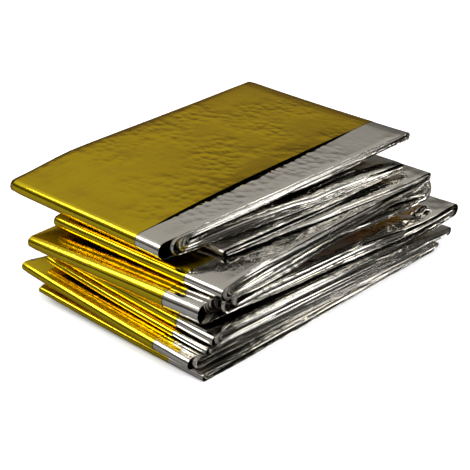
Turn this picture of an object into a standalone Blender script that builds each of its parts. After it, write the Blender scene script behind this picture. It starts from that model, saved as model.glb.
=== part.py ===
"""A rescue blanket of metallised film, 2.2 m by 1.6 m, folded into a loose pack.

The film is pleated lengthwise into a narrow strip, and the strip goes back and forth as an accordion.
The solid is that strip with the air between its pleats: one body, swept along the folded path.
X runs along the panels, Y across the strip from its silver side to its gold side, and Z is up.
"""

from math import cos, pi, sin

import bmesh
import bpy
from mathutils import Vector

MM = 0.001  # the sizes below are in millimetres

PANEL_LENGTH = 146.0
STRIP_WIDTH = 87.5
SILVER_BAND = 17.0  # the free edge of the outer layer stops this far from the silver side
FREE_EDGE_STEP = 0.35  # height of the step at the free edge
MOST_STEP_SHARE = 0.25  # of the strip's thickness, where it is pressed thin
LIP_DEPTH = 1.3  # depth of the grooves between the bundles of pleats
LIP_ROUND = 0.5
FRONT_LIPS = 3
BACK_LIPS = 2
CURL_SPAN = 0.55  # the curl of the gold side dies out this far along the panel
CROWN_SPAN = 0.25  # the crown of the gold side is full from here on
STACK_FRONT = -20.0  # Y of the silver side of most panels, where the curl and the crown begin
RIPPLE = 0.1
SPANS_PER_PANEL = 8
SPANS_PER_FOLD = 6

# Each fold of the accordion, in the order of the film: the side it is on, how far it reaches along X
# at the silver side and at the gold side, where the silver side lies along Y, and how wide the strip is.
FOLDS = (
    # side, reach at front, reach at back, slide, width
    ("right", 146.7, 145.3, 2.2, 90.2),
    ("left", -0.2, 1.2, 2.6, 84.6),
    ("right", 128.5, 129.0, -7.5, 87.5),
    ("left", 22.0, 20.0, -6.6, 87.5),
    ("right", 136.4, 137.5, -16.2, 87.5),
    ("left", 4.3, 2.8, -21.4, 85.6),
    ("right", 122.0, 124.0, -17.5, 87.5),
    ("left", -2.4, -6.3, -17.9, 86.5),
    ("right", 148.0, 148.0, -23.3, 87.5),
    ("left", -1.4, 1.0, -22.3, 87.5),
    ("right", 141.6, 142.5, -23.6, 87.5),
    ("left", -1.4, 0.5, -20.7, 87.5),
    ("right", 133.0, 134.0, -22.5, 87.5),
    ("left", -7.0, -5.0, -17.4, 93.0),
    ("right", 135.9, 137.0, -21.7, 87.5),
    ("left", -4.0, -5.3, -21.0, 87.6),
)
# The loose ends, tucked under the top panel and at the bottom: X, slide and width.
TUCKED_END = (70.0, 3.0, 87.5)
LAST_END = (133.0, -21.6, 87.5)

# Each panel in the order of the film: the height of its middle at the left and at the right, how much
# the gold side is lifted at the left and crowned further on, its thickness at both ends, and its sag.
PANELS = (
    # left, right, lift, crown, thick left, thick right, sag
    (39.6, 39.8, -0.3, 1.6, 1.0, 1.3, 0.0),
    (41.5, 41.9, -0.7, 1.8, 2.2, 1.6, 0.0),
    (37.4, 35.8, 0.2, 0.8, 2.4, 2.2, 0.4),
    (35.1, 33.9, 0.5, 0.5, 0.9, 0.9, 0.4),
    (33.8, 31.3, 0.6, 0.4, 0.8, 0.9, 0.3),
    (31.8, 29.4, 0.7, 0.4, 2.2, 2.0, 0.3),
    (28.9, 26.6, 1.0, 0.2, 2.0, 1.9, 0.3),
    (26.2, 24.0, -1.2, 0.2, 2.3, 1.9, 0.5),
    (20.6, 15.0, 1.7, 0.0, 2.2, 1.9, 0.0),
    (16.9, 11.6, 2.9, 0.0, 1.8, 1.8, 0.0),
    (14.2, 8.3, 3.5, 0.0, 1.8, 1.3, 0.0),
    (11.2, 6.0, 4.7, 0.0, 1.1, 1.2, 0.0),
    (9.7, 4.75, 4.8, 0.0, 1.1, 0.8, 0.0),
    (7.6, 3.65, 3.6, 0.0, 1.6, 0.8, 0.0),
    (4.7, 2.55, 4.3, 0.0, 1.6, 0.8, 0.0),
    (2.55, 1.5, 2.75, 0.0, 1.0, 0.7, 0.0),
    (0.65, 0.45, 3.25, 0.0, 1.3, 0.9, 0.0),
)
LAST_PANEL = len(PANELS) - 1

# Shares of the strip's thickness: the film face that wraps the left folds, and the other one.
OUTER, INNER = 0.0, 1.0
BAND = -1.0  # marks the lowered band beside the free edge of the outer layer


def blend(a, b, t):
    return a + (b - a) * t


def ramp(t):
    """Zero up to 0, one from 1 on, and smooth between."""
    t = min(1.0, max(0.0, t))
    return t * t * (3 - 2 * t)


def panel_thickness(number, x):
    *_, left, right, _ = PANELS[number]
    return blend(left, right, x / PANEL_LENGTH)


def panel_height(number, x, y):
    """The height of the middle of a panel."""
    left, right, lift, crown, _, _, sag = PANELS[number]
    u = x / PANEL_LENGTH
    across = max(0.0, (y - STACK_FRONT) / STRIP_WIDTH)
    height = blend(left, right, u) - sag * sin(pi * u)
    height += lift * max(0.0, 1 - max(0.0, u) / CURL_SPAN) ** 2 * across**1.5
    height += crown * ramp(u / CROWN_SPAN) * across**2
    if number < LAST_PANEL:
        height += RIPPLE * sin(2.3 * pi * u + 0.5 * number) * sin(pi * u)
    return height


def face_height(number, x, y, share):
    """The height at a share of the thickness, from the outer face to the inner one."""
    outer_is_up = number % 2 == 1
    from_middle = (0.5 - share) * panel_thickness(number, x)
    return panel_height(number, x, y) + (from_middle if outer_is_up else -from_middle)


def fold_start(number, v):
    """Where the half turn of a fold begins, at a share v of the strip's width, and which way it bulges."""
    side, front, back, slide, width = FOLDS[number]
    reach = blend(front, back, v)
    y = slide + v * width
    outward = 1 if side == "right" else -1
    heights = [
        face_height(panel, reach, y, share)
        for panel in (number, number + 1)
        for share in (OUTER, INNER)
    ]
    return reach - outward * (max(heights) - min(heights)) / 2, y, outward


def panel_ends(number, v):
    """X and Y of a panel's left end and of its right end, at a share v of the strip's width."""
    ends = []
    for fold, loose in ((number - 1, TUCKED_END), (number, LAST_END)):
        if 0 <= fold < len(FOLDS):
            x, y, _ = fold_start(fold, v)
        else:
            x, slide, width = loose
            y = slide + v * width
        ends.append((x, y))
    return sorted(ends)


def section():
    """The strip's cross-section: points of (distance from the silver side, share of the thickness)."""
    points = [(LIP_ROUND, BAND)]
    points += lips(FRONT_LIPS, 0.0, LIP_DEPTH)
    points += [(LIP_ROUND, INNER), (STRIP_WIDTH / 2, INNER), (STRIP_WIDTH - LIP_ROUND, INNER)]
    points += reversed(lips(BACK_LIPS, STRIP_WIDTH, STRIP_WIDTH - LIP_DEPTH))
    points += [(STRIP_WIDTH - LIP_ROUND, OUTER), (STRIP_WIDTH / 2, OUTER)]
    points += [(SILVER_BAND + 0.1, OUTER), (SILVER_BAND, BAND)]
    return points


def lips(count, crest, groove):
    """The rounded bundles of pleats along one side of the strip, from the outer face to the inner one."""
    steps = 2 * count
    return [(crest if i % 2 else groove, i / steps) for i in range(1, steps)]


def share_at(share, thickness):
    """The share itself, or for the lowered band the share that the free edge's step takes."""
    if share == BAND:
        return min(MOST_STEP_SHARE, FREE_EDGE_STEP / thickness)
    return share


def panel_ring(number, t):
    """The cross-section at a share t of the way along a panel, from left to right."""
    ring = []
    for across, share in section():
        (x0, y0), (x1, y1) = panel_ends(number, across / STRIP_WIDTH)
        x = blend(x0, x1, t)
        y = blend(y0, y1, t)
        share = share_at(share, panel_thickness(number, x))
        ring.append(Vector((x, y, face_height(number, x, y, share))) * MM)
    return ring


def fold_ring(number, angle):
    """The cross-section at an angle of the half turn between a panel and the next one."""
    ring = []
    for across, share in section():
        start, y, outward = fold_start(number, across / STRIP_WIDTH)
        share = share_at(share, panel_thickness(number, start))
        before = face_height(number, start, y, share)
        after = face_height(number + 1, start, y, share)
        x = start + outward * sin(angle) * abs(before - after) / 2
        ring.append(Vector((x, y, blend(before, after, (1 - cos(angle)) / 2))) * MM)
    return ring


def film_path():
    """Every cross-section from the tucked end to the last end."""
    rings = []
    for number in range(len(PANELS)):
        runs_right = number % 2 == 0
        for i in range(SPANS_PER_PANEL + 1):
            t = i / SPANS_PER_PANEL
            rings.append(panel_ring(number, t if runs_right else 1 - t))
        if number < LAST_PANEL:
            for i in range(1, SPANS_PER_FOLD):
                rings.append(fold_ring(number, pi * i / SPANS_PER_FOLD))
    return rings


def sweep(name, rings):
    """One closed body: the first cross-section is a face, extruded from each ring to the next."""
    mesh = bmesh.new()
    end = mesh.faces.new([mesh.verts.new(point) for point in rings[0]])
    for number, ring in enumerate(rings[1:]):
        grown = bmesh.ops.extrude_face_region(mesh, geom=[end])
        if number:
            bmesh.ops.delete(mesh, geom=[end], context="FACES_ONLY")
        end = next(item for item in grown["geom"] if isinstance(item, bmesh.types.BMFace))
        for vert, point in zip(end.verts, ring):
            vert.co = point
    bmesh.ops.triangulate(mesh, faces=mesh.faces[:])
    bmesh.ops.recalc_face_normals(mesh, faces=mesh.faces[:])
    data = bpy.data.meshes.new(name)
    mesh.to_mesh(data)
    mesh.free()
    data.shade_smooth()
    data.set_sharp_from_angle(angle=pi / 4)
    return bpy.data.objects.new(name, data)


def stand_at_origin(thing):
    """Moves the mesh so that the middle of its base is the origin."""
    corners = [Vector(corner) for corner in thing.bound_box]
    low = Vector(map(min, *corners))
    high = Vector(map(max, *corners))
    middle = (low + high) / 2
    for vert in thing.data.vertices:
        vert.co -= Vector((middle.x, middle.y, low.z))


def gold_foil():
    material = bpy.data.materials.new("gold_foil")
    material.use_nodes = True
    shader = material.node_tree.nodes["Principled BSDF"]
    shader.inputs["Base Color"].default_value = (0.80, 0.58, 0.08, 1)
    shader.inputs["Metallic"].default_value = 1.0
    shader.inputs["Roughness"].default_value = 0.22
    return material


def main():
    for thing in list(bpy.data.objects):
        bpy.data.objects.remove(thing)
    blanket = sweep("foil_blanket", film_path())
    bpy.context.scene.collection.objects.link(blanket)
    stand_at_origin(blanket)
    blanket.data.materials.append(gold_foil())


main()
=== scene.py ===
import math

import bmesh
import bpy
import numpy as np
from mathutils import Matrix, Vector


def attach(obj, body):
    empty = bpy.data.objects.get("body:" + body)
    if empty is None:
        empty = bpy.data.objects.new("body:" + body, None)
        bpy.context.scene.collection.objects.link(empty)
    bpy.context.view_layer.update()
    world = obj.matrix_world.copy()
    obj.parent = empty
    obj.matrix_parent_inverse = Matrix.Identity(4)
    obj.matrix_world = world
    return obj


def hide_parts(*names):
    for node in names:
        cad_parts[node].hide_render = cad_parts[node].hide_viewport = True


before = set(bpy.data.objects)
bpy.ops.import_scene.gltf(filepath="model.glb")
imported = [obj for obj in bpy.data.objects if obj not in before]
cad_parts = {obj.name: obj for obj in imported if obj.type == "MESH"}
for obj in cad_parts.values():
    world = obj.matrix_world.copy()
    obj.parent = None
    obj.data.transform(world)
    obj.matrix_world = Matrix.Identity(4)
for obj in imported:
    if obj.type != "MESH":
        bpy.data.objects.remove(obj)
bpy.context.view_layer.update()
mm = 0.001  # the film's sizes below are in millimetres, as in the CAD


# The folded strip, with the same folds and panels as the CAD solid
strip = {
    "panelLength": 146.0,
    "width": 87.5,
    "front": -20.0,  # Y of the silver side of most panels
    "curlSpan": 0.55,
    "crownSpan": 0.25,
    "ripple": 0.1,
    "tuckedEnd": (70.0, 3.0, 87.5),  # X, slide and width
    "lastEnd": (133.0, -21.6, 87.5),
    "folds": (
        # side, reach at front, reach at back, slide, width, hollow
        ("right", 146.7, 145.3, 2.2, 90.2, 1.0),
        ("left", -0.2, 1.2, 2.6, 84.6, 6.0),
        ("right", 128.5, 129.0, -7.5, 87.5, 0.6),
        ("left", 22.0, 20.0, -6.6, 87.5, 0.4),
        ("right", 136.4, 137.5, -16.2, 87.5, 1.2),
        ("left", 4.3, 2.8, -21.4, 85.6, 1.6),
        ("right", 141.0, 141.0, -12.0, 87.5, 1.0),
        ("left", -2.4, -6.3, -17.9, 86.5, 7.5),
        ("right", 148.0, 148.0, -23.3, 87.5, 2.0),
        ("left", -1.4, 1.0, -22.3, 87.5, 2.0),
        ("right", 141.6, 142.5, -23.6, 87.5, 1.0),
        ("left", -1.4, 0.5, -20.7, 87.5, 0.6),
        ("right", 133.0, 134.0, -22.5, 87.5, 0.6),
        ("left", -7.0, -5.0, -17.4, 93.0, 2.2),
        ("right", 135.9, 137.0, -21.7, 87.5, 0.4),
        ("left", -4.0, -5.3, -21.0, 87.6, 1.0),
    ),
    "panels": (
        # left, right, lift, crown, thick left, thick right, sag
        (39.6, 39.8, -0.3, 1.6, 1.0, 1.3, 0.0),
        (41.5, 41.9, -0.7, 1.8, 2.2, 1.6, 0.0),
        (37.4, 35.8, 0.2, 0.8, 2.4, 2.2, 0.4),
        (35.1, 33.9, 0.5, 0.5, 0.9, 0.9, 0.4),
        (33.8, 31.3, 0.6, 0.4, 0.8, 0.9, 0.3),
        (31.8, 29.4, 0.7, 0.4, 2.2, 2.0, 0.3),
        (28.9, 26.6, 1.0, 0.2, 2.0, 1.9, 0.3),
        (26.2, 24.0, -1.2, 0.2, 2.3, 1.9, 0.5),
        (20.6, 14.2, 1.7, 0.0, 2.2, 1.9, 0.0),
        (16.9, 10.8, 2.9, 0.0, 1.8, 1.8, 0.0),
        (14.2, 8.3, 3.5, 0.0, 1.8, 1.3, 0.0),
        (11.2, 6.0, 4.7, 0.0, 1.1, 1.2, 0.0),
        (9.7, 4.75, 4.8, 0.0, 1.1, 0.8, 0.0),
        (7.6, 3.65, 3.6, 0.0, 1.6, 0.8, 0.0),
        (4.7, 2.55, 4.3, 0.0, 1.6, 0.8, 0.0),
        (2.55, 1.5, 2.75, 0.0, 1.0, 0.7, 0.0),
        (0.65, 0.45, 3.25, 0.0, 1.3, 0.9, 0.0),
    ),
    "upturns": (
        # the right ends of these two panels turn up: from, over, height
        ((4, 5), 112.0, 25.0, 1.3),
        ((8, 9), 115.0, 33.0, 2.3),
    ),
    "curls": (
        # the silver side of a panel turns up: Y of its edge, from, full from, full to, to, height
        (5, -21.0, 2, 26, 104, 134, 2.4),
    ),
    "curlDecay": 6.0,
    "openShareTurn": (80, 40),  # the upper panel's share of an opening changes from this X, over this length
    # Where the pleats spring open along the silver side, from one panel to the next below it
    "openings": (
        # above, below, starts at, full from, full to, ends at, share of the upper panel at left and at right
        (1, 2, 8, 26, 62, 74, 0.5, 0.5),
        (1, 0, 72, 84, 120, 142, 0.5, 0.5),
        (0, 2, 72, 84, 104, 126, 0.5, 0.5),
        (2, 3, 2, 26, 96, 122, 0.9, 0.5),
        (3, 4, 26, 50, 84, 120, 0.5, 0.2),
        (4, 5, 26, 50, 90, 130, 0.5, 0.5),
        (5, 6, 4, 16, 100, 134, 0.5, 0.5),
        (6, 7, 4, 16, 120, 138, 0.5, 0.5),
        (7, 8, 10, 26, 200, 210, 0.4, 0.93),
        (8, 9, 10, 40, 100, 134, 0.5, 0.5),
        (9, 10, 6, 34, 100, 136, 0.5, 0.5),
        (10, 11, 6, 34, 100, 136, 0.5, 0.5),
        (11, 12, 6, 34, 100, 130, 0.5, 0.5),
        (12, 13, 6, 34, 100, 130, 0.5, 0.5),
        (13, 14, 6, 34, 100, 130, 0.5, 0.5),
        (14, 15, 6, 34, 100, 130, 0.5, 0.5),
        (15, 16, 6, 34, 100, 130, 0.5, 0.5),
    ),
}
lastPanel = len(strip["panels"]) - 1

# The film in the strip: pleated into layers, which bunch into a few fat folds along each side
film = {
    "flatSize": (1.6, 2.2),  # metres
    "layers": 18,
    "silverBand": 17.0,  # the free edges stop this far from the silver side
    "innerStops": (0.035, 0.11, 0.5, 0.89, 0.965),  # points across a layer, as shares of the strip's width
    "outerStops": 12,  # how many points the outer layer has
    "nosePoints": 4,
    "thickness": 0.012,
    "noseGaps": (0.7, 0.8),  # the pleats' own thickness and its unevenness, against the gaps between pleats
    "openGaps": (1.0, 0.8),
    "fatNoses": 3.0,  # how much fatter the foremost pleats are
    "leastGap": 0.012,  # as a share of the strip's thickness
    "wallSpan": 18.0,  # the outermost layers lie close together this far from a fold of the accordion
    "wallPress": 0.94,
    "noseDecay": 9.0,  # a fat fold is pressed flat this far from its edge
    "opened": 0.92,  # how much of a free gap the opened pleats fill
    "openDecay": 15.0,
    "outerRaise": 0.18,  # keeps the outermost layers clear of the ones they cover
    "frontSetBack": 5.0,  # about half of the pleats lie this far behind the others
    "backSetBack": 1.6,
    "setBackDecay": 22.0,
    "lyingBack": (2.5, 1.5),  # how many pleats lie back at the silver side: slope and level of their waves
    "goldLyingBack": (0.7, 0.35),
    "outermostShare": 0.25,  # how far the outermost pleats lie back, against the others
    "keptLayers": 2.1,  # a hollow fold's outermost layers aren't set back
    "stagger": 0.09,  # how much further each deeper layer of a hollow fold is set back
    "leastNose": 0.08,
    "mostNose": 0.6,
    "edgeLift": 1.0,  # the outer layer's free edge stands up from the top panel
    "edgeLiftDecay": 9.0,
    "edgeLiftSpan": (0.05, 0.85),  # as shares of the panel: from, over
    "foldFade": 9.0,  # the marks of a fold fade over this length
    "edgeSlant": (-4.0, 2.0),  # how the free edge runs along the top panel, at left and at right
    "slantSpan": 45.0,
    "slantFade": 0.3,  # the slant ends within this share of the next panel
    "paintedShadeFromEdge": 2.5,  # painted shade: between the pleats the colour is darkened from this far behind their edges
    "paintedPackShade": 0.5,  # how much painted shade darkens the colour between the panels
    "paintedPackShadeSpan": (3, 16, 108, 124),  # from, full from, full to, to
    "buckled": (
        # panel, from, full from, full to, to
        (3, 22, 32, 80, 110),
        (5, 8, 26, 110, 134),
        (4, 100, 116, 150, 160),
        (8, 100, 120, 150, 160),
    ),
    "innerSlant": (8, 110.0, 149.0, -6.5, -1.0),  # panel, two X, and the inner free edge's shift there
    "innerSlantFade": (60.0, 40.0),
    "panelSpans": 11,
    "otherSpans": {0: 6, 1: 20, 5: 15},
    "foldSpans": 6,
    "stepLength": 150.0,  # of film from panel to panel
    "foldShare": 0.06,  # of that in the fold
    "gapLengths": (260, 900),  # the random waves along the film are this long
    "backLengths": (200, 700),
    "seed": 11,
}


def mix(a, b, t):
    return a + (b - a) * t


def ramp(t):
    t = np.clip(t, 0, 1)
    return t * t * (3 - 2 * t)


# Zero outside a span of lengths, one inside it, and smooth between
def window(x, start, full, fullTo, end):
    return ramp((x - start) / (full - start)) * (1 - ramp((x - fullTo) / (end - fullTo)))


def panelThickness(number, x):
    *_, left, right, _ = strip["panels"][number]
    return mix(left, right, x / strip["panelLength"])


def panelHeight(number, x, y):
    left, right, lift, crown, _, _, sag = strip["panels"][number]
    u = x / strip["panelLength"]
    across = np.maximum(0, (y - strip["front"]) / strip["width"])
    height = mix(left, right, u) - sag * np.sin(math.pi * u)
    height = height + lift * np.maximum(0, 1 - np.maximum(0, u) / strip["curlSpan"]) ** 2 * across**1.5
    height = height + crown * ramp(u / strip["crownSpan"]) * across**2
    for panels, start, span, rise in strip["upturns"]:
        if number in panels:
            height = height + rise * np.maximum(0, (x - start) / span) ** 2
    for panel, edge, *span, rise in strip["curls"]:
        if number == panel:
            height = height + rise * window(x, *span) * np.exp(-np.maximum(0, y - edge) / strip["curlDecay"])
    if number < lastPanel:
        height = height + strip["ripple"] * np.sin(2.3 * math.pi * u + 0.5 * number) * np.sin(math.pi * u)
    return height


# The height at a share of the strip's thickness, from its outer face to its inner one
def faceHeight(number, x, y, share):
    outerUp = 1 if number % 2 else -1
    return panelHeight(number, x, y) + outerUp * (0.5 - share) * panelThickness(number, x)


def foldStart(number, v):
    side, front, back, slide, width, _ = strip["folds"][number]
    outward = 1 if side == "right" else -1
    reach = mix(front, back, v)
    y = slide + v * width
    heights = [faceHeight(panel, reach, y, share) for panel in (number, number + 1) for share in (0, 1)]
    radius = (np.max(heights, axis=0) - np.min(heights, axis=0)) / 2
    return reach - outward * radius, y, outward


# X and Y of a panel's left end and of its right end, at shares v of the strip's width
def panelEnds(number, v):
    ends = []
    for fold, loose in ((number - 1, strip["tuckedEnd"]), (number, strip["lastEnd"])):
        if 0 <= fold <= lastPanel - 1:
            x, y, _ = foldStart(fold, v)
        else:
            x, slide, width = loose
            x, y = np.full_like(v, x), slide + v * width
        ends.append((x, y))
    return ends if number % 2 == 0 else ends[::-1]


# How far a panel's pleats spring open above it and below it at the silver side
def openedBy(number, x):
    rise, drop = np.zeros_like(x), np.zeros_like(x)
    turn, over = strip["openShareTurn"]
    for above, below, *span, shareLeft, shareRight in strip["openings"]:
        if number not in (above, below):
            continue
        y = strip["front"]
        bottom = panelHeight(above, x, y) - panelThickness(above, x) / 2
        top = panelHeight(below, x, y) + panelThickness(below, x) / 2
        free = film["opened"] * window(x, *span) * np.maximum(0, bottom - top)
        upper = mix(shareLeft, shareRight, ramp((x - turn) / over))
        if number == above:
            drop = drop + free * upper
        else:
            rise = rise + free * (1 - upper)
    return rise, drop


# The film's points across the strip, from one free edge to the other, as rows of (layer, share of the
# width, bulge)
def crossPoints():
    band = film["silverBand"] / strip["width"]
    inner = list(film["innerStops"])
    rows = []
    for layer in range(film["layers"]):
        if layer == 0:
            stops = list(np.linspace(band, inner[-1], film["outerStops"]))
        elif layer == film["layers"] - 1:
            stops = [*inner[:1:-1], band + 0.05, band]
        else:
            stops = inner if layer % 2 == 0 else inner[::-1]
        rows += [(layer, v, 0.0) for v in stops]
        if layer < film["layers"] - 1:
            side = 1 if layer % 2 == 0 else -1
            for angle in np.linspace(0, math.pi, film["nosePoints"]):
                rows.append((layer + (1 - math.cos(angle)) / 2, (1 + side) / 2, side * math.sin(angle)))
    return np.array(rows)


# Smooth random functions of a length in millimetres, one for each of count things, each a sum of five
# sine waves and mostly between -2 and 2
def makeWaves(seed, count, lengths):
    rng = np.random.default_rng(seed)
    waves = 2 * math.pi / rng.uniform(lengths[0], lengths[1], (count, 5))
    phases = rng.uniform(0, 2 * math.pi, (count, 5))
    sizes = rng.normal(0, 1, (count, 5)) * 0.63
    return lambda s: (np.sin(waves * s + phases) * sizes).sum(axis=1)


# Where each layer lies in the strip's thickness, from 0 to 1. The gaps inside the pleats of one side are the
# ones between the pleats of the other side.
def layerShares(waves, firstNose, outerWall, innerWall, fatNoses):
    isNose = np.arange(len(waves)) % 2 == firstNose
    size, uneven = (np.where(isNose, a, b) for a, b in zip(film["noseGaps"], film["openGaps"]))
    gaps = size * np.exp(uneven * waves)
    gaps[isNose] *= fatNoses
    gaps[:2] *= 1 - film["wallPress"] * outerWall
    gaps[-2:] *= 1 - film["wallPress"] * innerWall
    gaps = film["leastGap"] + gaps / gaps.sum()
    return np.concatenate([[0], np.cumsum(gaps) / gaps.sum()])


# Rows of (panel or fold number, is it a fold, share of the panel or angle, length along the film)
def filmStations():
    stations = []
    step = film["stepLength"]
    for number in range(lastPanel + 1):
        spans = film["otherSpans"].get(number, film["panelSpans"])
        for i in range(spans + 1):
            along = i / spans
            stations.append((number, False, along if number % 2 == 0 else 1 - along, (number + along) * step))
        if number < lastPanel:
            for i in range(1, film["foldSpans"]):
                share = i / film["foldSpans"]
                length = (number + 1 + film["foldShare"] * (share - 0.5)) * step
                stations.append((number, True, math.pi * share, length))
    return stations


# How near a station is to a fold with the outer face outside, and to one with the inner face outside
def wallShares(number, isFold, along):
    near = [0.0, 0.0]
    for fold in (number,) if isFold else (number - 1, number):
        if 0 <= fold < lastPanel:
            side = strip["folds"][fold][0]
            away = 0 if isFold else (along if side == "left" else 1 - along) * strip["panelLength"]
            wraps = 0 if side == "left" or fold == 0 else 1
            near[wraps] = max(near[wraps], math.exp(-((away / film["wallSpan"]) ** 2)))
    return near


# How far inside a hollow fold's outermost layers the others turn back
def setBack(fold, layer):
    side, *_, hollow = strip["folds"][fold]
    wrapsOuter = side == "left" or fold == 0
    depth = layer if wrapsOuter else film["layers"] - 1 - layer
    return hollow * ramp(depth - film["keptLayers"]) * (1 + film["stagger"] * np.maximum(0, depth - 4))


# How far the free edge of the outer layer is shifted across the strip
def edgeShift(number, isFold, along):
    left, right = film["edgeSlant"]
    fade = film["slantFade"]
    if number == 1:
        return left if isFold else mix(left, right, along)
    if number == 0:
        return right if isFold else right * ramp((along - (1 - fade)) / fade)
    return left * ramp(1 - along / fade) if number == 2 and not isFold else 0


# Every point of the film as an array of (station, point across, xyz), in metres
def placeFilm():
    cross = crossPoints()
    layer, v, bulge = cross[:, 0], cross[:, 1], cross[:, 2]
    last = film["layers"] - 1
    index = np.arange(film["layers"])
    # the pleat that each point belongs to, counted along its own side of the strip
    pair = np.where(v < 0.5, np.round((layer + 0.01) / 2), np.floor((layer + 0.01) / 2)).astype(int)
    gapWaves = [makeWaves(film["seed"] + k, last, film["gapLengths"]) for k in range(3)]
    pleatWaves = [makeWaves(film["seed"] + 7 + k, last // 2 + 2, film["backLengths"]) for k in range(2)]
    fromFront = v * strip["width"]
    fromBack = (1 - v) * strip["width"]
    pleatFront, pleatBack = (np.exp(-d / film["setBackDecay"]) for d in (fromFront, fromBack))
    raised = np.where(bulge == 0, film["outerRaise"], 0) * ((layer == 0) * 1.0 - (layer == last) * 1.0)
    raised = raised * np.minimum(1, fromBack / 3)
    coverShares = np.full(last // 2 + 2, 1.0)
    coverShares[[0, 1, -2, -1]] = film["outermostShare"]
    shifted = 1 - ramp((fromFront - film["silverBand"]) / film["slantSpan"])
    shifted, innerShifted = (np.where(layer == which, shifted, 0) for which in (0, last))
    # the two layers that each point lies on or between
    before = np.floor(np.minimum(layer, last - 0.001))
    after = before + 1
    between = layer - before

    def layerHeight(number, x, y, which, shares):
        front, back, middle = (np.interp(which, index, part) for part in shares)
        depths = (fromFront + inFront, fromBack + inBack)
        nearFront, nearBack = (np.exp(-d / film["noseDecay"]) for d in depths)
        opening = np.exp(-(fromFront + inFront) / film["openDecay"])
        share = mix(mix(middle, front, nearFront), back, nearBack)
        high = 1 - share if number % 2 else share
        rise, drop = openedBy(number, x)
        outerUp = 1 if number % 2 else -1
        opened = opening * (rise * high - drop * (1 - high))
        clearance = 0 if number == lastPanel else outerUp * raised
        return faceHeight(number, x, y, share) + opened + clearance

    def filmHeight(number, x, y, shares):
        first = layerHeight(number, x, y, before, shares)
        second = layerHeight(number, x, y, after, shares)
        return mix(first, second, between), np.abs(second - first)

    (slope, level), (goldSlope, goldLevel) = film["lyingBack"], film["goldLyingBack"]
    points = []
    for number, isFold, along, length in filmStations():
        outerWall, innerWall = wallShares(number, isFold, along)
        backShares = ramp(pleatWaves[0](length) * slope + level) * coverShares
        fat = (1 + film["fatNoses"] * (1 - backShares[1:-1]), 1, 1)
        shares = [layerShares(waves(length), nose, outerWall, innerWall, more)
                  for waves, nose, more in zip(gapWaves, (1, 0, 2), fat)]
        inFront = film["frontSetBack"] * backShares[pair] * pleatFront
        inBack = film["backSetBack"] * ramp(pleatWaves[1](length) * goldSlope + goldLevel)[pair] * pleatBack
        if isFold:
            start, y, outward = foldStart(number, v)
            start = start - outward * setBack(number, layer)
            lower, gapLower = filmHeight(number, start, y, shares)
            upper, gapUpper = filmHeight(number + 1, start, y, shares)
            x = start + outward * math.sin(along) * np.abs(lower - upper) / 2
            z = mix(lower, upper, (1 - math.cos(along)) / 2)
            gap = mix(gapLower, gapUpper, along / math.pi)
        else:
            (x0, y0), (x1, y1) = panelEnds(number, v)
            leftFold, rightFold = (number - 1, number) if number % 2 == 0 else (number, number - 1)
            if leftFold >= 0:
                x0 = x0 + setBack(leftFold, layer)
            if rightFold < lastPanel:
                x1 = x1 - setBack(rightFold, layer)
            x = mix(x0, x1, along)
            y = mix(y0, y1, along)
            z, gap = filmHeight(number, x, y, shares)
            if number == 1:
                start, over = film["edgeLiftSpan"]
                rise = film["edgeLift"] * math.sin(math.pi * min(1, max(0, (along - start) / over))) ** 0.7
                fromEdge = fromFront - film["silverBand"]
                z = z + np.where(layer == 0, rise * np.exp(-fromEdge / film["edgeLiftDecay"]), 0)
        y = y + inFront - inBack + bulge * np.clip(gap / 2, film["leastNose"], film["mostNose"])
        y = y + shifted * edgeShift(number, isFold, along)
        panel, start, end, leftShift, rightShift = film["innerSlant"]
        if number == panel and not isFold:
            fadeStart, fadeSpan = film["innerSlantFade"]
            shift = mix(leftShift, rightShift, np.clip((x - start) / (end - start), 0, 1))
            y = y + innerShifted * ramp((x - fadeStart) / fadeSpan) * shift
        points.append(np.stack([x, y, np.maximum(z, film["thickness"])], axis=1))
    return np.array(points) * mm


# How near each station is to a fold of the accordion, from 1 on the fold to 0 inside the panel
def foldShares():
    shares = []
    for number, isFold, along, _ in filmStations():
        toLeft, toRight = along, 1 - along
        near = [d for d, there in ((toLeft, number > 0), (toRight, True)) if there]
        shares.append(1.0 if isFold else math.exp(-min(near) * strip["panelLength"] / film["foldFade"]))
    return shares


# How loosely the film lies at each station
def buckledShares():
    shares = []
    for number, isFold, along, _ in filmStations():
        share = 0.0
        for panel, *span in film["buckled"]:
            if number == panel and not isFold:
                share = float(window(along * strip["panelLength"], *span))
        shares.append(share)
    return shares


# Painted shade: how much the colour is darkened at each station of the panels under the top one
def paintedShadeShares():
    shares = []
    for number, isFold, along, _ in filmStations():
        underTop = number != 1 and not isFold
        shade = film["paintedPackShade"] * float(window(along * strip["panelLength"], *film["paintedPackShadeSpan"]))
        shares.append(shade if underTop else 0.0)
    return shares


# The shift that part.py makes, so that the middle of the CAD box's base is the origin
def restOffset():
    outline = []
    for number in range(lastPanel):
        _, front, back, slide, width, _ = strip["folds"][number]
        outline += [(front, slide), (back, slide + width)]
    low, high = np.min(outline, axis=0), np.max(outline, axis=0)
    return Vector((*(low + high) / 2, 0)) * mm


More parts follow.
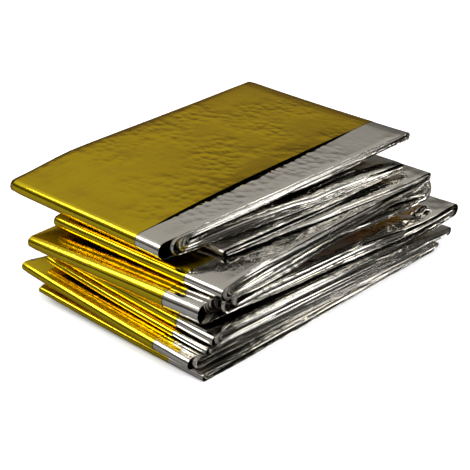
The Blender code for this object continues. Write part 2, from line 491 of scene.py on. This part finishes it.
def buildFilm(name):
    points = placeFilm()
    rows, columns, _ = points.shape
    print("film grid:", rows, "stations of", columns, "points")
    along = np.linalg.norm(np.diff(points, axis=0), axis=2).mean(axis=1).cumsum()
    across = np.linalg.norm(np.diff(points, axis=1), axis=2).mean(axis=0).cumsum()
    mesh = bmesh.new()
    bmesh.ops.create_grid(mesh, x_segments=columns - 1, y_segments=rows - 1, size=0.5)
    uvLayer = mesh.loops.layers.uv.new("filmSheet")
    foldLayer = mesh.verts.layers.float.new("nearFold")
    looseLayer = mesh.verts.layers.float.new("loose")
    coveredLayer = mesh.verts.layers.float.new("covered")
    # the 'inside' attribute carries painted shade, darkening the colour between the pleats and the panels
    paintedShadeLayer = mesh.verts.layers.float.new("inside")
    depths, shares, _ = crossPoints().T
    depths = np.minimum(depths, film["layers"] - 1 - depths)
    fromEdge = np.minimum(shares, 1 - shares) * strip["width"]
    nearFold, loose, shaded = foldShares(), buckledShares(), paintedShadeShares()
    flatAlong, flatAcross = np.append(0, along), np.append(0, across)
    offset = restOffset()
    places = {}
    for vert in mesh.verts:
        column = round((vert.co.x + 0.5) * (columns - 1))
        row = round((vert.co.y + 0.5) * (rows - 1))
        places[vert.index] = (row, column)
        vert[foldLayer] = nearFold[row]
        vert[coveredLayer] = float(ramp((depths[column] - 1) / 2))
        vert[looseLayer] = loose[row] * (1 - vert[coveredLayer])
        # painted shade: deep layers and the panels under the top one are darkened, less so near the pleats'
        # edges
        dark = max(shaded[row], vert[coveredLayer])
        vert[paintedShadeLayer] = dark * min(1, fromEdge[column] / film["paintedShadeFromEdge"])
    for face in mesh.faces:
        face.smooth = True
        for loop in face.loops:
            row, column = places[loop.vert.index]
            loop[uvLayer].uv = (flatAcross[column], flatAlong[row])
    for vert in mesh.verts:
        vert.co = Vector(points[places[vert.index]]) - offset
    # the same diagonals in all layers
    bmesh.ops.triangulate(mesh, faces=mesh.faces[:], quad_method="SHORT_EDGE")
    for edge in mesh.edges:
        edge.smooth = not edge.is_boundary
    data = bpy.data.meshes.new(name)
    mesh.to_mesh(data)
    mesh.free()
    piece = bpy.data.objects.new(name, data)
    bpy.context.scene.collection.objects.link(piece)
    return piece


def addNode(tree, kind, inputs=(), **settings):
    node = tree.nodes.new(kind)
    for key, value in settings.items():
        setattr(node, key, value)
    for key, value in dict(inputs).items():
        if isinstance(value, bpy.types.NodeSocket):
            tree.links.new(value, node.inputs[key])
        else:
            node.inputs[key].default_value = value
    return node


def addMath(tree, operation, first, second=0.0, third=0.0):
    return addNode(tree, "ShaderNodeMath", {0: first, 1: second, 2: third}, operation=operation).outputs[0]


# Zero up to one end of a range of values and one from the other end on, smooth between
def smoothStep(tree, value, start, end):
    settings = {"Value": value, "From Min": start, "From Max": end}
    return addNode(tree, "ShaderNodeMapRange", settings, interpolation_type="SMOOTHSTEP").outputs[0]


# Marks of folding and handling, from the sheet's own flat coordinates in metres
relief = {
    "patches": (38.0, 0.40, 0.62),  # scale, and where the noise starts and is full
    "grain": (800.0, 0.055),  # scale and height in millimetres
    "swell": (70.0, 0.05),
    "buckles": (85.0, 1.1),  # where the film lies loose
    "dents": ((230.0, 290.0, 1.0), 0.24),  # about 4 mm apart
    "creases": ((380.0, 22.0, 1.0), 0.004),
    "coveredShare": 0.97,  # how much weaker all of it is inside the pleats
    "streaks": ((14.0, 620.0, 1.0), 0.11),
    "streaksAway": 0.03,  # how strong they are away from the folds
    "haze": 55.0,
}


def reliefGroup():
    group = bpy.data.node_groups.new("filmRelief", "ShaderNodeTree")
    group.interface.new_socket("Height", in_out="OUTPUT", socket_type="NodeSocketFloat")
    group.interface.new_socket("Haze", in_out="OUTPUT", socket_type="NodeSocketFloat")
    group.interface.new_socket("Inside", in_out="OUTPUT", socket_type="NodeSocketFloat")
    sheet = addNode(group, "ShaderNodeUVMap", uv_map="filmSheet").outputs[0]
    fold = addNode(group, "ShaderNodeAttribute", attribute_name="nearFold").outputs["Fac"]
    loose = addNode(group, "ShaderNodeAttribute", attribute_name="loose").outputs["Fac"]
    covered = addNode(group, "ShaderNodeAttribute", attribute_name="covered").outputs["Fac"]
    flat = addMath(group, "SUBTRACT", 1.0, fold)

    def noise(scale, detail, vector=sheet):
        settings = {"Vector": vector, "Scale": scale, "Detail": detail}
        return addNode(group, "ShaderNodeTexNoise", settings).outputs["Fac"]

    def stretched(amounts):
        return addNode(group, "ShaderNodeVectorMath", {0: sheet, 1: amounts}, operation="MULTIPLY").outputs[0]

    def raiseBy(height, value, share):
        return addMath(group, "MULTIPLY_ADD", addMath(group, "MULTIPLY", value, share), height * mm, total)

    patchScale, *patchEnds = relief["patches"]
    patches = smoothStep(group, noise(patchScale, 2.0), *patchEnds)
    spots = {"Vector": stretched(relief["dents"][0]), "Scale": 1.0, "Smoothness": 0.25, "Randomness": 0.85}
    dents = addNode(group, "ShaderNodeTexVoronoi", spots, feature="SMOOTH_F1").outputs["Distance"]
    creases = addMath(group, "SUBTRACT", noise(1.0, 1.0, stretched(relief["creases"][0])), 0.5)
    creases = addMath(group, "ABSOLUTE", creases)
    streaks = noise(1.0, 3.0, stretched(relief["streaks"][0]))
    total = 0.0
    total = raiseBy(relief["grain"][1], noise(relief["grain"][0], 2.0), addMath(group, "ADD", patches, 0.3))
    total = raiseBy(relief["swell"][1], noise(relief["swell"][0], 1.5), 1.0)
    total = raiseBy(relief["buckles"][1], noise(relief["buckles"][0], 1.0), loose)
    dents = addMath(group, "MULTIPLY", dents, flat)
    total = raiseBy(relief["dents"][1], dents, addMath(group, "ADD", patches, 0.15))
    total = raiseBy(relief["creases"][1], creases, 1.0)
    away = relief["streaksAway"]
    total = raiseBy(relief["streaks"][1], streaks, addMath(group, "MULTIPLY_ADD", fold, 1 - away, away))
    weakened = addMath(group, "MULTIPLY_ADD", covered, -relief["coveredShare"], 1.0)
    total = addMath(group, "MULTIPLY", total, weakened)
    haze = addMath(group, "MULTIPLY", creases, 0.3)
    haze = addMath(group, "MULTIPLY_ADD", noise(relief["haze"], 4.0), 0.7, haze)
    output = group.nodes.new("NodeGroupOutput")
    # painted shade between the pleats, read from the mesh and passed on to the colour
    inside = addNode(group, "ShaderNodeAttribute", attribute_name="inside").outputs["Fac"]
    for name, value in {"Height": total, "Haze": haze, "Inside": inside}.items():
        group.links.new(value, output.inputs[name])
    return group


wearAndShade = {
    "hazed": (0.3, 0.62),  # where the haze starts and is full
    "rougher": 0.09,
    # painted shade: how far the colour goes toward black between the pleats
    "paintedShadeStrength": 0.8,
}


# Colour and roughness of a metal film whose coating is hazed and rubbed in places, and whose colour is
# darkened toward black as painted shade between the pleats
def coatingAndShadeGroup():
    group = bpy.data.node_groups.new("filmCoatingAndShade", "ShaderNodeTree")
    kinds = {"Fresh": "Color", "Worn": "Color", "Haze": "Float", "Inside": "Float", "Roughness": "Float"}
    for name, kind in kinds.items():
        group.interface.new_socket(name, in_out="INPUT", socket_type="NodeSocket" + kind)
    group.interface.new_socket("Colour", in_out="OUTPUT", socket_type="NodeSocketColor")
    group.interface.new_socket("Roughness", in_out="OUTPUT", socket_type="NodeSocketFloat")
    given = group.nodes.new("NodeGroupInput").outputs
    worn = smoothStep(group, given["Haze"], *wearAndShade["hazed"])
    colour = addNode(group, "ShaderNodeMix", {"Factor": worn}, data_type="RGBA")
    group.links.new(given["Fresh"], colour.inputs[6])
    group.links.new(given["Worn"], colour.inputs[7])
    # painted shade: the colour is mixed toward black where the film lies between pleats
    dark = addMath(group, "MULTIPLY", given["Inside"], wearAndShade["paintedShadeStrength"])
    shade = addNode(group, "ShaderNodeMix", {"Factor": dark}, data_type="RGBA")
    group.links.new(colour.outputs[2], shade.inputs[6])
    shade.inputs[7].default_value = (0, 0, 0, 1)
    rough = addMath(group, "MULTIPLY_ADD", worn, wearAndShade["rougher"], given["Roughness"])
    output = group.nodes.new("NodeGroupOutput")
    group.links.new(shade.outputs[2], output.inputs["Colour"])
    group.links.new(rough, output.inputs["Roughness"])
    return group


coatings = {
    "goldFilm": {
        "fresh": (0.88, 0.68, 0.024),
        "worn": (0.72, 0.54, 0.03),
        "edge": (0.93, 0.63, 0.6),
        "roughness": 0.10,
    },
    "silverFilm": {
        "fresh": (0.91, 0.89, 0.84),
        "worn": (0.78, 0.76, 0.70),
        "edge": (1.0, 0.98, 0.95),
        "roughness": 0.045,
    },
}


def filmMaterial(name, reliefNodes, coatingAndShadeNodes):
    coating = coatings[name]
    material = bpy.data.materials.new(name)
    material.use_nodes = True
    tree = material.node_tree
    shader = tree.nodes["Principled BSDF"]
    marks = addNode(tree, "ShaderNodeGroup", node_tree=reliefNodes)
    tone = addNode(tree, "ShaderNodeGroup", node_tree=coatingAndShadeNodes)
    tone.inputs["Fresh"].default_value = (*coating["fresh"], 1)
    tone.inputs["Worn"].default_value = (*coating["worn"], 1)
    tone.inputs["Roughness"].default_value = coating["roughness"]
    # the haze, and the painted shade between the pleats
    for output in ("Haze", "Inside"):
        tree.links.new(marks.outputs[output], tone.inputs[output])
    heights = {"Height": marks.outputs["Height"], "Distance": 1.0, "Strength": 1.0}
    bump = addNode(tree, "ShaderNodeBump", heights)
    shader.inputs["Metallic"].default_value = 1
    shader.inputs["Specular Tint"].default_value = (*coating["edge"], 1)
    tree.links.new(tone.outputs["Colour"], shader.inputs["Base Color"])
    tree.links.new(tone.outputs["Roughness"], shader.inputs["Roughness"])
    tree.links.new(bump.outputs[0], shader.inputs["Normal"])
    return material


# A photographer's tent: grey all round, brighter at the top and on the left, and black cloth on the right
studio = {
    "floor": (0.93, 0.93, 0.93),
    "floorSize": 3,
    "room": 2.0,  # how bright the tent makes the floor
    "black": 0.012,
    "grey": 0.11,
    "card": 0.25,
    "cardHeights": (0.2, 0.5),  # sines of the elevations between which it grows
    "clothToward": (0.82, -0.57),
    "clothEdge": (0.4, 0.68),
    "clothHeights": (0.2, 0.36),
    "leftCard": 0.75,
    "leftLow": 0.05,
    "leftHeights": (0.22, 0.68),
    "leftToward": (-0.58, 0.81),
    "leftEdge": (0.4, 0.8),
    "warm": (1.0, 0.96, 0.88),  # the tint of the cards
    "tableLeft": (0.12, 0.12, 0.12),  # what the foil mirrors below it
    "tableRight": (0.04, 0.04, 0.04),
    "tableEnds": (-0.12, 0.02),  # X in metres
    "lamps": (
        # name, place in metres, size, watts
        ("backLeft", (-0.75, 1.05, 1.13), 0.5, 4),
        ("right", (1.12, -0.62, 1.05), 0.32, 3.6),
    ),
}


def tentLight(tree):
    direction = tree.nodes.new("ShaderNodeTexCoord").outputs["Generated"]
    x, y, z = addNode(tree, "ShaderNodeSeparateXYZ", {0: direction}).outputs

    def toward(name):
        alongX, alongY = studio[name]
        return addMath(tree, "MULTIPLY_ADD", x, alongX, addMath(tree, "MULTIPLY", y, alongY))

    grown = smoothStep(tree, z, *studio["cardHeights"])
    card = addMath(tree, "MULTIPLY_ADD", grown, studio["card"], studio["grey"])
    aside = smoothStep(tree, toward("clothToward"), *studio["clothEdge"])
    cloth = addMath(tree, "MULTIPLY", aside, smoothStep(tree, z, *studio["clothHeights"]))
    card = addNode(tree, "ShaderNodeMix", {"Factor": cloth, 2: card, 3: studio["black"]}).outputs[0]
    grown = smoothStep(tree, z, *studio["leftHeights"])
    leftCard = addMath(tree, "MULTIPLY_ADD", grown, studio["leftCard"], studio["leftLow"])
    toLeft = smoothStep(tree, toward("leftToward"), *studio["leftEdge"])
    mirrored = addNode(tree, "ShaderNodeMix", {"Factor": toLeft, 2: card, 3: leftCard}).outputs[0]
    glossy = tree.nodes.new("ShaderNodeLightPath").outputs["Is Glossy Ray"]
    strength = addNode(tree, "ShaderNodeMix", {"Factor": glossy, 2: studio["room"], 3: mirrored}).outputs[0]
    tint = addNode(tree, "ShaderNodeMix", {"Factor": glossy}, data_type="RGBA")
    tint.inputs[6].default_value = (1, 1, 1, 1)
    tint.inputs[7].default_value = (*studio["warm"], 1)
    background = tree.nodes["Background"]
    tree.links.new(tint.outputs[2], background.inputs["Color"])
    tree.links.new(strength, background.inputs["Strength"])


def tableMaterial():
    paint = bpy.data.materials.new("palePaint")
    paint.use_nodes = True
    tree = paint.node_tree
    place = tree.nodes.new("ShaderNodeTexCoord").outputs["Object"]
    x = addNode(tree, "ShaderNodeSeparateXYZ", {0: place}).outputs[0]
    toRight = smoothStep(tree, x, *studio["tableEnds"])
    table = addNode(tree, "ShaderNodeMix", {"Factor": toRight}, data_type="RGBA")
    table.inputs[6].default_value = (*studio["tableLeft"], 1)
    table.inputs[7].default_value = (*studio["tableRight"], 1)
    mirrored = tree.nodes.new("ShaderNodeLightPath").outputs["Is Glossy Ray"]
    tone = addNode(tree, "ShaderNodeMix", {"Factor": mirrored}, data_type="RGBA")
    tone.inputs[6].default_value = (*studio["floor"], 1)
    tree.links.new(table.outputs[2], tone.inputs[7])
    shader = tree.nodes["Principled BSDF"]
    shader.inputs["Roughness"].default_value = 0.8
    tree.links.new(tone.outputs[2], shader.inputs["Base Color"])
    return paint


def buildStudio():
    scene = bpy.context.scene
    floor = bmesh.new()
    bmesh.ops.create_grid(floor, x_segments=1, y_segments=1, size=studio["floorSize"])
    data = bpy.data.meshes.new("floor")
    floor.to_mesh(data)
    floor.free()
    plane = bpy.data.objects.new("floor", data)
    scene.collection.objects.link(plane)
    data.materials.append(tableMaterial())
    world = bpy.data.worlds.new("studio")
    world.use_nodes = True
    tentLight(world.node_tree)
    scene.world = world
    for name, place, size, power in studio["lamps"]:
        lamp = bpy.data.lights.new(name, "AREA")
        lamp.energy = power
        lamp.size = size
        thing = bpy.data.objects.new(name, lamp)
        thing.location = place
        thing.rotation_mode = "QUATERNION"
        thing.rotation_quaternion = (-Vector(place)).to_track_quat("-Z", "Y")
        scene.collection.objects.link(thing)


# The camera fitted to the photo, with its focal length as a share of the picture's width
view = {
    "azimuth": -47.2,
    "elevation": 25.9,
    "distance": 0.493,
    "target": (87.8, 49.6, 0),
    "focal": 1150 / 470,
    "sensor": 36,
}


def buildCamera():
    azimuth, elevation = math.radians(view["azimuth"]), math.radians(view["elevation"])
    target = Vector(view["target"]) * mm - restOffset()
    level = math.cos(elevation)
    back = Vector((math.sin(azimuth) * level, -math.cos(azimuth) * level, math.sin(elevation)))
    data = bpy.data.cameras.new("camera")
    data.sensor_width = view["sensor"]
    data.lens = view["sensor"] * view["focal"]
    data.clip_start = 0.01
    camera = bpy.data.objects.new("camera", data)
    camera.location = target + back * view["distance"]
    camera.rotation_mode = "QUATERNION"
    camera.rotation_quaternion = (-back).to_track_quat("-Z", "Y")
    bpy.context.scene.collection.objects.link(camera)
    bpy.context.scene.camera = camera


blanket = buildFilm("foilFilm")
reliefNodes, coatingAndShadeNodes = reliefGroup(), coatingAndShadeGroup()
for name in ("goldFilm", "silverFilm"):
    blanket.data.materials.append(filmMaterial(name, reliefNodes, coatingAndShadeNodes))
solid = blanket.modifiers.new("thickness", "SOLIDIFY")
solid.thickness = film["thickness"] * mm
solid.offset = -1
solid.material_offset = 1
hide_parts("foil_blanket")
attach(blanket, "root")
print("film:", len(blanket.data.polygons), "faces, sheet", [round(side, 3) for side in film["flatSize"]])

buildStudio()
buildCamera()
bpy.context.scene.view_settings.view_transform = "Standard"
print("studio and camera placed")
